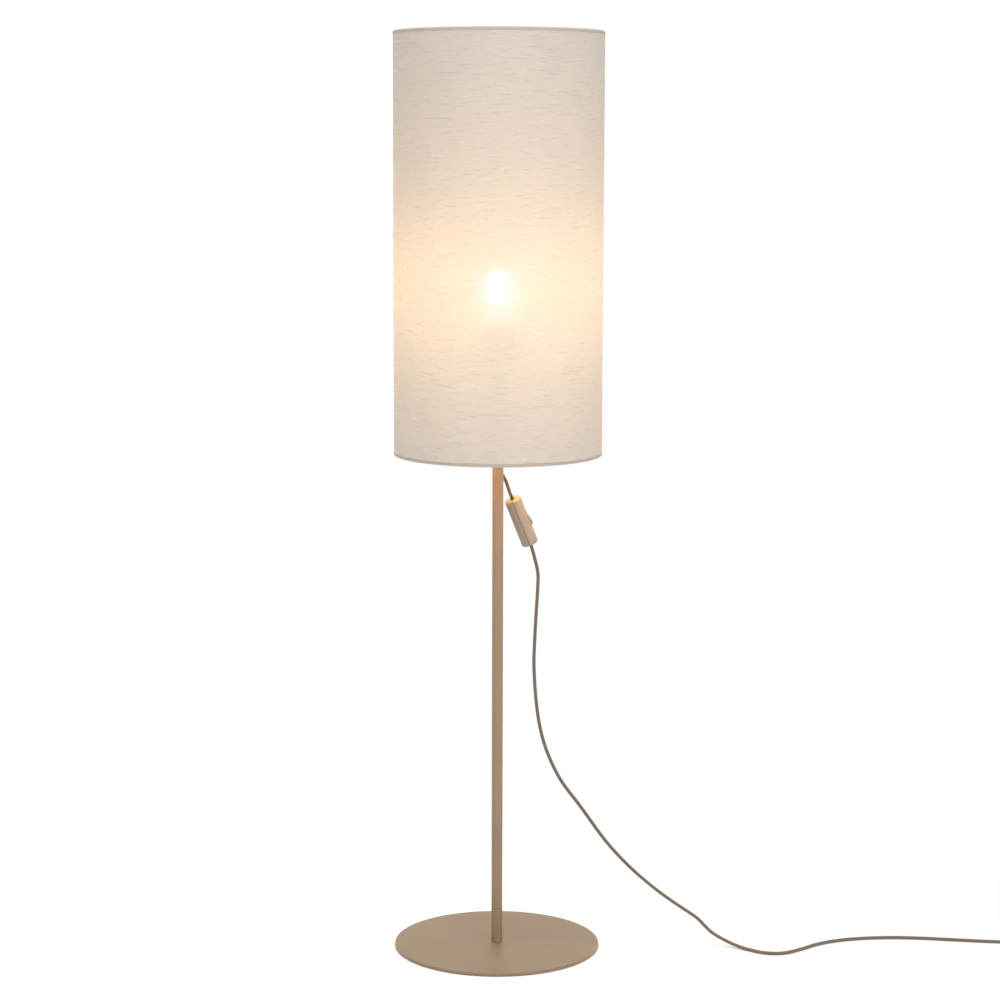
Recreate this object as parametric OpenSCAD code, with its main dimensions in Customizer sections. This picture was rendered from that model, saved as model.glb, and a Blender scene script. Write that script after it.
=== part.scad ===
// Column floor lamp: a tall fabric drum shade on a thin steel tube with a round base plate.
// A textile lead leaves the tube under the shade, holds a rocker switch, and ends in a two-pin plug.
// Millimetres, +Z up. The origin is the centre of the base's underside, on the floor.
// Seen from the front, along +Y, +X is to the right.

/* [Base] */
// Diameter of the base plate
base_d = 300; // [240:5:360]
// Thickness of the base plate
base_t = 4; // [3.8:0.1:8]
// Round along the edges of the base plate
base_edge_r = 0.3; // [0.2:0.1:1.4]
// Thickness of the felt pad under the plate
pad_t = 1; // [0.5:0.5:3]
// Distance from the edge of the plate to the edge of the pad
pad_inset = 6; // [2:1:20]
// Diameter of the hole in the pad, round the base screw
pad_hole_d = 30; // [20:1:60]
// Thread diameter of the screw that holds the tube
base_screw_d = 8; // [6:0.5:8]
// Head diameter of that screw
base_screw_head_d = 15; // [13:0.5:15.5]
// Length of that screw below the top of its head
base_screw_l = 20; // [14:1:26]
// Depth that the screw's head is sunk under the plate's face
base_screw_sink = 0.2; // [0.1:0.1:0.3]
// Width of the screw's hexagon socket, across its corners
base_screw_socket_d = 5.8; // [4:0.2:6.6]

/* [Tube] */
// Outer diameter of the tube
pole_d = 16; // [15:0.5:20]
// Wall of the tube
pole_wall = 1; // [0.8:0.1:1.5]
// Length of the tube
pole_l = 850; // [750:10:1000]
// Length of the threaded plug in the tube's foot
foot_insert_l = 26; // [24:1:40]
// Length of the threaded plug in the tube's top
top_insert_l = 18; // [14:1:30]
// Thickness of the top plug's collar
top_collar_t = 2; // [1:0.5:4]
// Depth of the lead's outlet under the shade
exit_drop = 27; // [20:1:60]
// Direction of the outlet round the tube, from +X towards +Y
exit_azimuth = 55; // [30:1:90]
// Slope of the outlet, below level
exit_slope = 45; // [40:1:50]
// Outer diameter of the outlet's bush
bush_d = 7.6; // [7:0.1:8.4]
// Width of the bush's lip round its barrel
bush_lip = 0.8; // [0.4:0.1:1.2]
// Depth of the bush inside the tube's face
bush_depth = 4; // [2:0.5:5]

/* [Lead] */
// Diameter of the textile lead
cord_d = 5; // [4.4:0.1:5.4]
// Clearance round the lead in its holes
cord_clear = 0.25; // [0.1:0.05:0.5]
// Diameter of one insulated wire inside the lead
wire_d = 2; // [1.6:0.1:2.2]

/* [Lampholder] */
// Diameter of the hollow threaded nipple
nipple_d = 10; // [9.6:0.1:11]
// Bore of the nipple
nipple_bore_d = 7; // [6.4:0.1:8]
// Length of the nipple inside the tube's top plug
nipple_below = 12; // [8:1:14]
// Length of the nipple inside the holder
nipple_above = 8; // [6:1:10]
// Neck diameter of the holder's cap
holder_neck_d = 18; // [16:0.5:22]
// Neck height of the holder's cap
holder_neck_h = 6; // [4:0.5:8]
// Height of the holder's cap
holder_cap_h = 23; // [21:1:30]
// Greatest diameter of the holder's cap
holder_cap_d = 42; // [40:0.5:48]
// Wall of the holder's plastic shells
holder_wall = 2; // [1.5:0.1:2.2]
// Outer diameter of the holder's sleeve
sleeve_d = 39.4; // [38.6:0.2:41]
// Height of the holder's sleeve
sleeve_h = 41; // [38:1:46]
// Height of the shoulder's top face above the sleeve's foot
shoulder_z = 5; // [4:0.5:8]
// Thickness of the shoulder that the shade rests on
shoulder_t = 2; // [1.5:0.5:3]
// Width of that shoulder
shoulder_w = 3.3; // [2:0.1:4]
// Height of the holder's ceramic core
core_h = 8; // [6:0.5:9]
// Height of the centre contact above the core
centre_contact_h = 1.8; // [1:0.1:3]
// Wall of the holder's brass screw shell
screw_shell_t = 0.5; // [0.3:0.1:0.6]
// Height of the holder's brass screw shell
screw_shell_h = 22; // [16:1:26]

/* [Bulb] */
// Diameter of the bulb's glass
bulb_d = 60; // [50:1:64]
// Length of the bulb with its cap
bulb_l = 112; // [100:1:120]
// Wall of the bulb's glass
bulb_wall = 0.8; // [0.6:0.1:1.2]
// Diameter of the bulb's screw cap
bulb_cap_d = 26.6; // [26:0.1:27]
// Height of the bulb's screw cap
bulb_cap_h = 21; // [18:1:24]
// Height of the black insulator under the cap
bulb_insulator_h = 4; // [3:0.5:6]
// Height of the contact at the bulb's foot
bulb_tip_h = 1.6; // [1:0.2:2.6]
// Number of light filaments
filament_count = 4; // [2:1:8]
// Length of a light filament
filament_l = 38; // [24:1:40]

/* [Shade] */
// Outer diameter of the shade
shade_d = 300; // [260:5:360]
// Height of the shade
shade_h = 602; // [500:1:650]
// Height of the shade's seat above the shade's lower edge
shade_recess = 154.5; // [120:0.5:170]
// Thickness of the linen
fabric_t = 0.6; // [0.4:0.1:1]
// Thickness of the stiff liner behind the linen
liner_t = 0.4; // [0.3:0.1:0.8]
// Height of the folded hem
hem_h = 5; // [4.5:0.5:10]
// Diameter of the wire rings in the hems
ring_wire_d = 3.5; // [2.5:0.1:3.8]
// Width of the shade's glued seam
seam_w = 10; // [6:1:16]
// Diameter of the arms that carry the shade
arm_d = 4; // [3:0.2:5]
// Number of arms
arm_count = 3; // [2:1:4]
// Width of the flat seat ring
fitter_w = 8.4; // [8:0.2:12]
// Thickness of the flat seat ring
fitter_t = 1.5; // [1:0.1:3]
// Running clearance of the rings round the sleeve
ring_clear = 0.3; // [0.2:0.05:0.4]
// Width of the threaded ring's flange
clamp_w = 8.6; // [7:0.2:10]
// Thickness of the threaded ring's flange
clamp_t = 2; // [1.5:0.1:3]
// Height of the threaded ring
clamp_h = 9; // [6:0.5:10]
// Wall of the threaded ring's collar
clamp_wall = 2.4; // [1.8:0.1:3]
// Number of finger ribs round the threaded ring
clamp_ribs = 24; // [12:1:36]

/* [Switch] */
// Length of the switch
switch_l = 73; // [70:1:84]
// Height of the switch, on the rocker's side
switch_x = 24.4; // [24:0.2:27]
// Width of the switch
switch_y = 27; // [26:0.5:32]
// Wall of the switch's shells
switch_wall = 1.8; // [1.4:0.1:2.2]
// Round at the ends of the switch
switch_end_r = 2; // [1:0.5:4]
// Width and depth of the groove between the shells
groove = 0.8; // [0.3:0.1:1.2]
// Centre of the switch, seen from the outlet
switch_offset = [29.7, 27, -74.9]; // [-100:0.1:100]
// Slope of the switch in the picture, away from upright
switch_tilt = 21; // [10:1:30]
// Slope of the switch towards the front
switch_lean = 11; // [0:1:20]
// Length of the rocker's face
rocker_l = 17; // [14:0.5:19]
// Width of the rocker
rocker_w = 9.6; // [8:0.2:11]
// Angle between the rocker's two states
rocker_throw = 25; // [16:1:28]
// Depth of the rocker's pins under the switch's face
rocker_axis_depth = 5; // [4.6:0.1:5.6]
// Diameter of the rocker's pins
rocker_pin_d = 3; // [2:0.1:3.4]
// Running clearance round the rocker's pins
pin_clear = 0.05; // [0.03:0.01:0.1]
// Clearance round the rocker in its window
rocker_clear = 0.3; // [0.25:0.05:0.5]
// Length of the rocker's stem, from its pins
stem_l = 9; // [8:0.2:10]
// Angle through which the contact bridge tips
bridge_throw = 16; // [10:1:18]
// Length of the contact bridge
bridge_l = 14; // [12:0.5:16]
// Diameter of the screws in the switch
switch_screw_d = 3; // [2.4:0.1:3.4]

/* [Plug] */
// Length of the plug's body
plug_l = 36; // [30:1:42]
// Width of the plug's body
plug_w = 26; // [25:0.5:32]
// Thickness of the plug's body
plug_t = 14; // [13:0.5:18]
// Diameter of the plug's pins
plug_pin_d = 4; // [3.8:0.1:4.4]
// Length of the plug's pins
plug_pin_l = 19; // [17:0.5:21]
// Distance between the plug's pins
plug_pin_spacing = 18.6; // [17:0.1:19.2]
// Length of the tapered strain relief
boot_l = 30; // [22:1:40]
// Diameter of the strain relief at the plug
boot_d = 10; // [8.6:0.2:12]

/* [Coil] */
// Radius of the coil's outermost turn
coil_r = 33; // [30:0.5:38]
// Distance between neighbouring turns
coil_pitch = 5.6; // [5.5:0.1:6.4]
// Number of turns, in two layers
coil_turns = 4.25; // [3.25:1:5.25]
// Place of the coil's centre on the floor
coil_at = [806, 40]; // [0:1:1200]
// Length of the straight end towards the plug
coil_tail = 26; // [18:1:60]
// Thickness of the tie's strap
tie_t = 1; // [0.6:0.1:1.5]
// Width of the tie's strap
tie_w = 9; // [5:0.5:14]
// Clearance inside the tie
tie_clear = 0.5; // [0.3:0.1:1]

/* [Hidden] */
$fn = 72;
cut = 1;                      // how far a cut runs past the face that it opens
press_clear = 0.02;           // clearance of parts that are pressed or screwed together
screw_clear = 0.2;            // clearance of a screw in a plain hole
seat_gap = 0.1;               // gap between parts that lie on each other without a fit
fine_fn = 32;                 // faces round small parts
wide_fn = 160;                // faces round the base and the shade

// Heights, from the floor up
plate_z = pad_t;
pole_z = plate_z + base_t;
pole_top_z = pole_z + pole_l;
holder_z = pole_top_z + top_collar_t;
sleeve_z = holder_z + holder_cap_h;
seat_z = sleeve_z + shoulder_z;
core_top_z = sleeve_z + core_h;
tip_z = core_top_z + centre_contact_h + seat_gap;
cap_z = tip_z + bulb_tip_h + bulb_insulator_h;
cap_top_z = cap_z + bulb_cap_h;
neck_z = cap_top_z - 2;                         // foot of the bulb's glass, inside its cap
bulb_z = tip_z + bulb_l - bulb_d / 2;
shade_z = seat_z - shade_recess;
shade_top_z = shade_z + shade_h;
exit_z = shade_z - exit_drop;

// Radii
pole_r = pole_d / 2;
pole_bore_r = pole_r - pole_wall;
sleeve_r = sleeve_d / 2;
sleeve_bore_r = sleeve_r - holder_wall;
cord_r = cord_d / 2;
cord_hole_r = cord_r + cord_clear;
bulb_cap_r = bulb_cap_d / 2;
cap_skin = 0.6;
tip_r = 4.6;                                    // radius of the contact at the bulb's foot
neck_r = bulb_cap_r - cap_skin - seat_gap;      // neck of the bulb's glass
stem_r = 1.5;
shade_r = shade_d / 2;
liner_r = shade_r - fabric_t;
arch_r = liner_t + ring_wire_d / 2 + seat_gap / 2;  // inside of the hem's fold
hem_mid_r = liner_r - arch_r;                   // middle of the hem and of its wire
hem_mid = fabric_t + arch_r;                    // depth of the wire's middle under the shade's edge
fitter_bore_r = sleeve_r + ring_clear;
fitter_r = fitter_bore_r + fitter_w;

// The axis of an arm, from under the seat ring to the lower wire ring
arm_inset = 2.6;                                // from the seat ring's edge to an arm's axis
arm_in = [fitter_r - arm_inset, 0, seat_z];
arm_out = [hem_mid_r, 0, shade_z + hem_mid];

// The wire terminals of the holder
terminal_x = 9.5;
terminal_h = 6;
terminal_w = 5;
terminal_screw_r = 1.2;
wire_pitch = 2.4;                               // distance between the two wires inside the lead
wire_seat = 4.8;                                // length of a wire inside its terminal

// The lead's outlet, and its direction
exit_dir = [cos(exit_slope) * cos(exit_azimuth), cos(exit_slope) * sin(exit_azimuth), -sin(exit_slope)];
exit_at = [pole_r * cos(exit_azimuth), pole_r * sin(exit_azimuth), exit_z];
inner_bend_r = 5 * cord_d;
lead_swing = 1.4;                               // how strongly the lead keeps its direction at its ends

// The switch: its own Z runs up along the lead, and its own +X is the rocker's side
switch_at = exit_at + switch_offset;
switch_up = [-sin(switch_tilt), -cos(switch_tilt) * sin(switch_lean), cos(switch_tilt) * cos(switch_lean)];
switch_top = switch_at + switch_up * switch_l / 2;
switch_foot = switch_at - switch_up * switch_l / 2;
face_x = switch_x / 2;
inner_x = face_x - switch_wall;
rocker_x = face_x - rocker_axis_depth;
rocker_rise = rocker_l / 2 * sin(rocker_throw / 2);
rocker_top = rocker_axis_depth + rocker_rise;
rocker_under = 2.4;                             // the rocker's body below its pins
rocker_r = norm([rocker_l / 2, rocker_top]);
cheek_in = rocker_w / 2 + rocker_clear;
cheek_t = 2.6;
pin_reach = cheek_in + cheek_t - rocker_clear;  // end of a pin, from the rocker's middle
bridge_t = 0.8;
bridge_w = 5;
bridge_top_x = rocker_x - stem_l - rocker_clear;
fulcrum_r = 1;
bridge_x = bridge_top_x - bridge_t - fulcrum_r; // axis of the bridge's fulcrum
floor_x = 2 * seat_gap - inner_x;               // seat of the contacts, on the switch's back
clamp_inset = 12;                               // from the switch's end to the middle of a cord clamp
clamp_z = switch_l / 2 - clamp_inset;
clamp_x = cord_r + seat_gap;                    // face of a clamp on the lead
lip_clear = 0.9;                                // further clearance round the lead where it enters the switch
clamp_bar_t = 2;
clamp_bar_l = 14;
clamp_bar_w = 5;
clamp_screw_y = 5;
clamp_screw_d = 2.4;
clamp_screw_in = 4;                             // how far a clamp screw reaches into its post
plunger_d = 3.6;
plunger_in = 2.6;                               // how far the plunger's bore reaches past the rocker's pins
contact_t = 3;                                  // height of the fixed contact
contact_z = 2 - bridge_l / 2;                   // its middle, below the post
stub_l = 17;                                    // length of the lead inside the switch's ends
shell_screw_z = 17;
shell_screw_y = 8.4;
boss_wall = 1.2;                                // wall round a casing screw
screw_in = 6.4;                                 // how far a casing screw reaches into the cover
screw_head_d = 5.4;
screw_head_t = 1.6;
screw_head_x = -6;                              // place of a casing screw's head, from the joint

// The coil and the plug
coil_layer = coil_pitch;
coil_z = tie_t + tie_clear + cord_r;
plug_axis_z = plug_t / 2;
pin_root = 8;                                   // how deep a pin sits in the plug's body
pin_root_d = 0.75 * plug_pin_d;
coil_steps = 24;
cord_sides = 8;
coil_sides = 6;

// Points of the hanging stretch, from the switch down to the floor
hang_points = [
    [54, 44, 573], [59, 48, 550], [59, 50, 527], [57, 53, 490], [55, 53, 450], [54, 52, 410],
    [57, 48, 362], [63, 44, 320], [74, 40, 282], [94, 36, 241], [124, 32, 201], [160, 27, 152],
    [193, 23, 116], [227, 20, 86], [258, 17, 63], [286, 13, 45], [299, 10, 36], [308, 6, 27.5],
    [318, 1, 19], [331, -6, 12.5], [349, -14, 5.5]];

// Places on the floor, up to the coil
floor_points = [
    [368, -28], [392, -45], [420, -46], [448, -27], [474, -4], [506, 14], [545, 25], [590, 29],
    [635, 26], [680, 19], [725, 12], [765, 8]];

// ---- Helpers ----------------------------------------------------------------

function unit(v) = v / norm(v);

// A point of the smooth curve through a, b, c and d, between b and c
function spline_point(a, b, c, d, t) =
    (2 * b + (c - a) * t + (2 * a - 5 * b + 4 * c - d) * t * t + (3 * b - a - 3 * c + d) * t * t * t) / 2;

// The smooth curve through all the points, with the given steps between two of them
function spline(points, steps) =
    let (
        last = len(points) - 1,
        before = 2 * points[0] - points[1],
        after = 2 * points[last] - points[last - 1],
        all = concat([before], points, [after])
    )
    concat(
        [for (i = [0:last - 1]) for (j = [0:steps - 1])
            spline_point(all[i], all[i + 1], all[i + 2], all[i + 3], j / steps)],
        [points[last]]
    );

// The direction of the path at point i; its two ends run straight
function heading(path, i) =
    let (last = len(path) - 1)
    i == 0 ? unit(path[1] - path[0])
    : i == last ? unit(path[last] - path[last - 1])
    : unit(unit(path[i + 1] - path[i]) + unit(path[i] - path[i - 1]));

// A ring of points round the path; side is any direction that the path never takes
function ring_points(centre, dir, side, r, sides) =
    let (a = unit(cross(side, dir)), b = cross(dir, a))
    [for (k = [0:sides - 1]) centre + r * (cos(360 * k / sides) * a + sin(360 * k / sides) * b)];

// The smallest distance between path points that are more than skip steps apart
function least_gap(path, skip) =
    min([for (i = [0:len(path) - 1]) for (j = [i + skip:1:len(path) - 1]) norm(path[i] - path[j])]);

// A tube along the path
module tube(path, r, sides, side) {
    last = len(path) - 1;
    points = [for (i = [0:last]) each ring_points(path[i], heading(path, i), side, r, sides)];
    walls = [for (i = [0:last - 1]) for (k = [0:sides - 1])
        let (a = i * sides + k, b = i * sides + (k + 1) % sides)
        each [[a, a + sides, b], [b, a + sides, b + sides]]];
    start_cap = [for (k = [1:sides - 2]) [0, k, k + 1]];
    end_cap = [for (k = [1:sides - 2]) [last * sides, last * sides + k + 1, last * sides + k]];
    polyhedron(points, concat(walls, start_cap, end_cap));
}

// A ring of wire round the Z axis
module wire_ring(ring_r, wire_r, z) {
    translate([0, 0, z])
        rotate_extrude($fn = wide_fn)
            translate([ring_r, 0]) circle(wire_r, $fn = fine_fn);
}

// A thin ring wall round the Z axis
module band(outer_r, inner_r, z, h) {
    translate([0, 0, z])
        difference() {
            cylinder(r = outer_r, h = h, $fn = wide_fn);
            translate([0, 0, -cut]) cylinder(r = inner_r, h = h + 2 * cut, $fn = wide_fn);
        }
}

// ---- Base and tube ----------------------------------------------------------

module base_pad() {
    color("#55504a")
        band(base_d / 2 - pad_inset, pad_hole_d / 2, 0, pad_t);
}

module base_plate() {
    r = base_edge_r;
    screw_hole_r = base_screw_d / 2 + screw_clear;
    sink_r = base_screw_head_d / 2 + screw_clear;
    color("#b19a84")
        translate([0, 0, plate_z])
            difference() {
                rotate_extrude($fn = wide_fn)
                    union() {
                        square([base_d / 2 - r, base_t]);
                        translate([0, r]) square([base_d / 2, base_t - 2 * r]);
                        translate([base_d / 2 - r, r]) circle(r, $fn = fine_fn);
                        translate([base_d / 2 - r, base_t - r]) circle(r, $fn = fine_fn);
                    }
                translate([0, 0, -cut]) cylinder(r = screw_hole_r, h = base_t + 2 * cut);
                cylinder(r1 = sink_r + base_screw_sink, r2 = screw_hole_r,
                    h = sink_r + base_screw_sink - screw_hole_r);
            }
}

// The screw's head and shank, with a hexagon socket
module base_screw() {
    head_h = (base_screw_head_d - base_screw_d) / 2;
    socket_depth = 2.5;
    color("#8f9296")
        translate([0, 0, plate_z + base_screw_sink])
            difference() {
                union() {
                    cylinder(d1 = base_screw_head_d, d2 = base_screw_d, h = head_h);
                    cylinder(d = base_screw_d, h = base_screw_l);
                }
                translate([0, 0, -cut])
                    cylinder(d = base_screw_socket_d, h = socket_depth + cut, $fn = 6);
            }
}

module foot_insert() {
    color("#a7a9ac")
        translate([0, 0, pole_z])
            difference() {
                cylinder(r = pole_bore_r - press_clear, h = foot_insert_l);
                translate([0, 0, -cut])
                    cylinder(d = base_screw_d + 2 * press_clear, h = foot_insert_l + 2 * cut);
            }
}

// Everything in the outlet's own direction: +Z runs out of the tube, downwards
module at_outlet() {
    translate([0, 0, exit_z])
        rotate([0, 0, exit_azimuth])
            translate([pole_r, 0, 0])
                rotate([0, 90 + exit_slope, 0])
                    children();
}

module pole() {
    foot_edge = 0.6;
    color("#a8896b")
        difference() {
            translate([0, 0, pole_z]) {
                cylinder(d1 = pole_d - 2 * foot_edge, d2 = pole_d, h = foot_edge);
                translate([0, 0, foot_edge]) cylinder(d = pole_d, h = pole_l - foot_edge);
            }
            translate([0, 0, pole_z - cut]) cylinder(r = pole_bore_r, h = pole_l + 2 * cut);
            at_outlet()
                translate([0, 0, -bush_depth])
                    cylinder(d = bush_d + 2 * press_clear, h = 3 * bush_depth);
        }
}

// A sleeve through the tube's wall, with a lip that follows the tube's face
module exit_bush() {
    lip_gap = 0.05;
    color("#3b342e")
        difference() {
            union() {
                intersection() {
                    at_outlet() translate([0, 0, -bush_depth]) cylinder(d = bush_d, h = 3 * bush_depth);
                    translate([0, 0, exit_z - pole_d])
                        cylinder(r = pole_r + bush_lip, h = 2 * pole_d);
                }
                intersection() {
                    at_outlet() translate([0, 0, -bush_depth])
                        cylinder(d = bush_d + 2 * bush_lip, h = 3 * bush_depth);
                    band(pole_r + bush_lip, pole_r + lip_gap, exit_z - pole_d, 2 * pole_d);
                }
            }
            at_outlet() translate([0, 0, -3 * bush_depth])
                cylinder(r = cord_hole_r, h = 6 * bush_depth);
        }
}

// The lead inside the tube: it lies against the far wall, then bends out through the bush
module inner_lead() {
    lean_from = 115;              // heights above the outlet at which it leans over to the far wall
    lean_mid = 80;
    lean_to = 50;
    far = cord_r + 2 * cord_clear - pole_bore_r;
    turn = 90 - exit_slope;
    reach = inner_bend_r * tan(turn / 2);
    drop = (pole_r - far) / tan(turn);
    corner_z = exit_z + drop;
    bend = [for (k = [0:3])
        let (a = turn * k / 3)
        [far + inner_bend_r * (1 - cos(a)), 0, corner_z + reach - inner_bend_r * sin(a)]];
    flat_path = concat(
        [[0, 0, holder_z + nipple_above],
         [0, 0, pole_top_z - top_insert_l - cord_d],
         [0, 0, exit_z + lean_from],
         [far / 2, 0, exit_z + lean_mid],
         [far, 0, exit_z + lean_to]],
        bend,
        [[pole_r, 0, exit_z]]);
    color("#6f5a49")
        rotate([0, 0, exit_azimuth])
            tube(flat_path, cord_r, cord_sides, [0, 1, 0]);
}

module top_insert() {
    color("#a7a9ac")
        difference() {
            union() {
                translate([0, 0, pole_top_z - top_insert_l])
                    cylinder(r = pole_bore_r - press_clear, h = top_insert_l + top_collar_t);
                translate([0, 0, pole_top_z]) cylinder(d = pole_d, h = top_collar_t);
            }
            translate([0, 0, pole_top_z - top_insert_l - cut])
                cylinder(d = nipple_d + 2 * press_clear, h = top_insert_l + top_collar_t + 2 * cut);
        }
}

// ---- Lampholder -------------------------------------------------------------

module nipple() {
    z = holder_z - nipple_below;
    color("#c9a64a")
        difference() {
            translate([0, 0, z]) cylinder(d = nipple_d, h = nipple_below + nipple_above);
            translate([0, 0, z - cut])
                cylinder(d = nipple_bore_d, h = nipple_below + nipple_above + 2 * cut);
        }
}

module holder_cap() {
    cap_r = holder_cap_d / 2;
    neck_r = holder_neck_d / 2;
    bore_r = nipple_d / 2 + press_clear;
    inner_r = cap_r - holder_wall;
    rim_h = 6;
    rim_z = holder_cap_h - rim_h;
    color("#2f2d2b")
        translate([0, 0, holder_z])
            rotate_extrude()
                polygon([
                    [bore_r, 0], [neck_r, 0], [neck_r, holder_neck_h],
                    [inner_r, rim_z - holder_wall], [cap_r, rim_z], [cap_r, holder_cap_h],
                    [inner_r, holder_cap_h], [inner_r, rim_z],
                    [neck_r + holder_wall, nipple_above], [bore_r, nipple_above]]);
}

// The sleeve carries the shade on its shoulder
module holder_sleeve() {
    color("#2f2d2b")
        translate([0, 0, sleeve_z])
            difference() {
                union() {
                    cylinder(r = sleeve_r, h = sleeve_h);
                    translate([0, 0, shoulder_z - shoulder_t])
                        cylinder(r = sleeve_r + shoulder_w, h = shoulder_t);
                    cylinder(r = holder_cap_d / 2, h = shoulder_z - shoulder_t);
                }
                translate([0, 0, -cut]) cylinder(r = sleeve_bore_r, h = sleeve_h + 2 * cut);
            }
}

// The core's wire holes stop under its face
module holder_core() {
    roof_t = 1.5;
    color("#e8e4da")
        translate([0, 0, sleeve_z])
            difference() {
                cylinder(r = sleeve_bore_r - press_clear, h = core_h);
                for (side = [-1, 1])
                    translate([side * terminal_x, 0, -cut])
                        cylinder(d = wire_d + 2 * screw_clear, h = core_h - roof_t + cut, $fn = fine_fn);
            }
}

module screw_shell() {
    cap_clear = 0.4;
    inner_r = bulb_cap_r + cap_clear;
    color("#c9a64a")
        translate([0, 0, core_top_z])
            difference() {
                cylinder(r = inner_r + screw_shell_t, h = screw_shell_h);
                translate([0, 0, -cut]) cylinder(r = inner_r, h = screw_shell_h + 2 * cut);
            }
}

module centre_contact() {
    contact_r = 4;
    foot_t = 0.6;
    color("#c9a64a")
        translate([0, 0, core_top_z]) {
            cylinder(r = contact_r, h = foot_t);
            cylinder(r = contact_r / 2, h = centre_contact_h);
        }
}

// Two brass blocks under the core, each with a hole for a wire
module holder_terminals() {
    roof_t = 1;
    color("#c9a64a")
        for (side = [-1, 1])
            translate([side * terminal_x, 0, sleeve_z - terminal_h])
                difference() {
                    translate([-terminal_w / 2, -terminal_w / 2, 0])
                        cube([terminal_w, terminal_w, terminal_h]);
                    translate([0, 0, -cut])
                        cylinder(d = wire_d + screw_clear, h = terminal_h - roof_t + cut, $fn = fine_fn);
                    translate([0, 0, terminal_h / 2])
                        rotate([0, side * 90, 0])
                            cylinder(r = terminal_screw_r + press_clear, h = terminal_w, $fn = fine_fn);
                }
}

// The side screws that hold the wires in the blocks
module holder_screws() {
    start = wire_d / 2 + 1.5 * seat_gap;
    shank_l = terminal_w / 2 - start;
    head_t = 1.4;
    head_r = 2.1;
    color("#8f9296")
        for (side = [-1, 1])
            translate([side * terminal_x, 0, sleeve_z - terminal_h / 2])
                rotate([0, side * 90, 0])
                    translate([0, 0, start]) {
                        cylinder(r = terminal_screw_r, h = shank_l + head_t, $fn = fine_fn);
                        translate([0, 0, shank_l]) cylinder(r = head_r, h = head_t, $fn = fine_fn);
                    }
}

// Two insulated wires from the end of the lead to the blocks
module holder_wires() {
    start_z = holder_z + nipple_above;
    start_x = wire_pitch / 2;
    below = sleeve_z - terminal_h - start_z;
    color("#5b7fa6")
        for (side = [-1, 1])
            tube([
                [side * start_x, 0, start_z],
                [side * start_x, 0, start_z + 0.16 * below],
                [side * terminal_x / 2, 0, start_z + 0.4 * below],
                [side * 0.85 * terminal_x, 0, start_z + 0.56 * below],
                [side * terminal_x, 0, start_z + 0.93 * below],
                [side * terminal_x, 0, sleeve_z - terminal_h + wire_seat]],
                wire_d / 2, cord_sides, [0, 1, 0]);
}

// ---- Bulb -------------------------------------------------------------------

module bulb_tip() {
    color("#c9a64a")
        translate([0, 0, tip_z]) cylinder(r1 = 0.75 * tip_r, r2 = tip_r, h = bulb_tip_h);
}

module bulb_insulator() {
    color("#2b2b2b")
        translate([0, 0, tip_z + bulb_tip_h])
            cylinder(r1 = tip_r + cap_skin, r2 = bulb_cap_r - 2 * cap_skin, h = bulb_insulator_h);
}

module bulb_cap() {
    color("#c4c7c9")
        translate([0, 0, cap_z])
            difference() {
                cylinder(r = bulb_cap_r, h = bulb_cap_h);
                translate([0, 0, cap_skin]) cylinder(r = bulb_cap_r - cap_skin, h = bulb_cap_h);
            }
}

// The glass's outline: a ball with a cone down to the cap, drawn in by the given wall
module bulb_outline(wall) {
    r = bulb_d / 2;
    cone_z = cap_top_z + cap_skin;
    dz = bulb_z - cone_z;
    reach = norm([neck_r, dz]);
    touch = acos(r / reach) + atan(neck_r / dz);    // where the cone meets the ball, from the foot
    intersection() {
        union() {
            translate([0, bulb_z]) circle(r - wall);
            polygon([
                [0, neck_z], [neck_r - wall, neck_z], [neck_r - wall, cone_z],
                [(r - wall) * sin(touch), bulb_z - (r - wall) * cos(touch)],
                [0, bulb_z]]);
        }
        translate([0, neck_z]) square([bulb_d, 2 * bulb_d]);
    }
}

module bulb_glass() {
    color("#f7f0e0")
        rotate_extrude()
            difference() {
                bulb_outline(0);
                bulb_outline(bulb_wall);
            }
}

// The glass stem that closes the neck and holds the filaments
module bulb_stem() {
    flange_h = 2;
    cone_h = 16;
    rod_z = neck_z + flange_h + cone_h;
    color("#dfe6e6") {
        translate([0, 0, neck_z]) cylinder(r = neck_r - bulb_wall - press_clear, h = flange_h);
        translate([0, 0, neck_z + flange_h]) cylinder(r1 = 4 * stem_r, r2 = stem_r, h = cone_h);
        translate([0, 0, rod_z]) cylinder(r = stem_r, h = bulb_z + filament_l / 2 - rod_z);
    }
}

// Upright filaments round the stem, each on a wire at its top and its foot
module bulb_filaments() {
    ring_r = 6;
    filament_r = 0.9;
    strut = 0.6;
    color("#f2c65a")
        for (k = [0:filament_count - 1])
            rotate([0, 0, 360 * k / filament_count])
                translate([0, 0, bulb_z - filament_l / 2]) {
                    translate([ring_r, 0, 0]) cylinder(r = filament_r, h = filament_l, $fn = fine_fn);
                    for (z = [strut, filament_l - 2 * strut])
                        translate([stem_r, -strut / 2, z]) cube([ring_r - stem_r, strut, strut]);
                }
}

// ---- Shade ------------------------------------------------------------------

module fitter_ring() {
    color("#b9b4ac")
        band(fitter_r, fitter_bore_r, seat_z, fitter_t);
}

// A rod from under the seat ring to the lower wire ring
module arm_rod(grow) {
    run = arm_out - arm_in;
    translate(arm_in)
        rotate([0, 90 + atan(-run[2] / run[0]), 0])
            translate([0, 0, -arm_d]) cylinder(r = arm_d / 2 + grow, h = norm(run) + arm_d);
}

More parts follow.
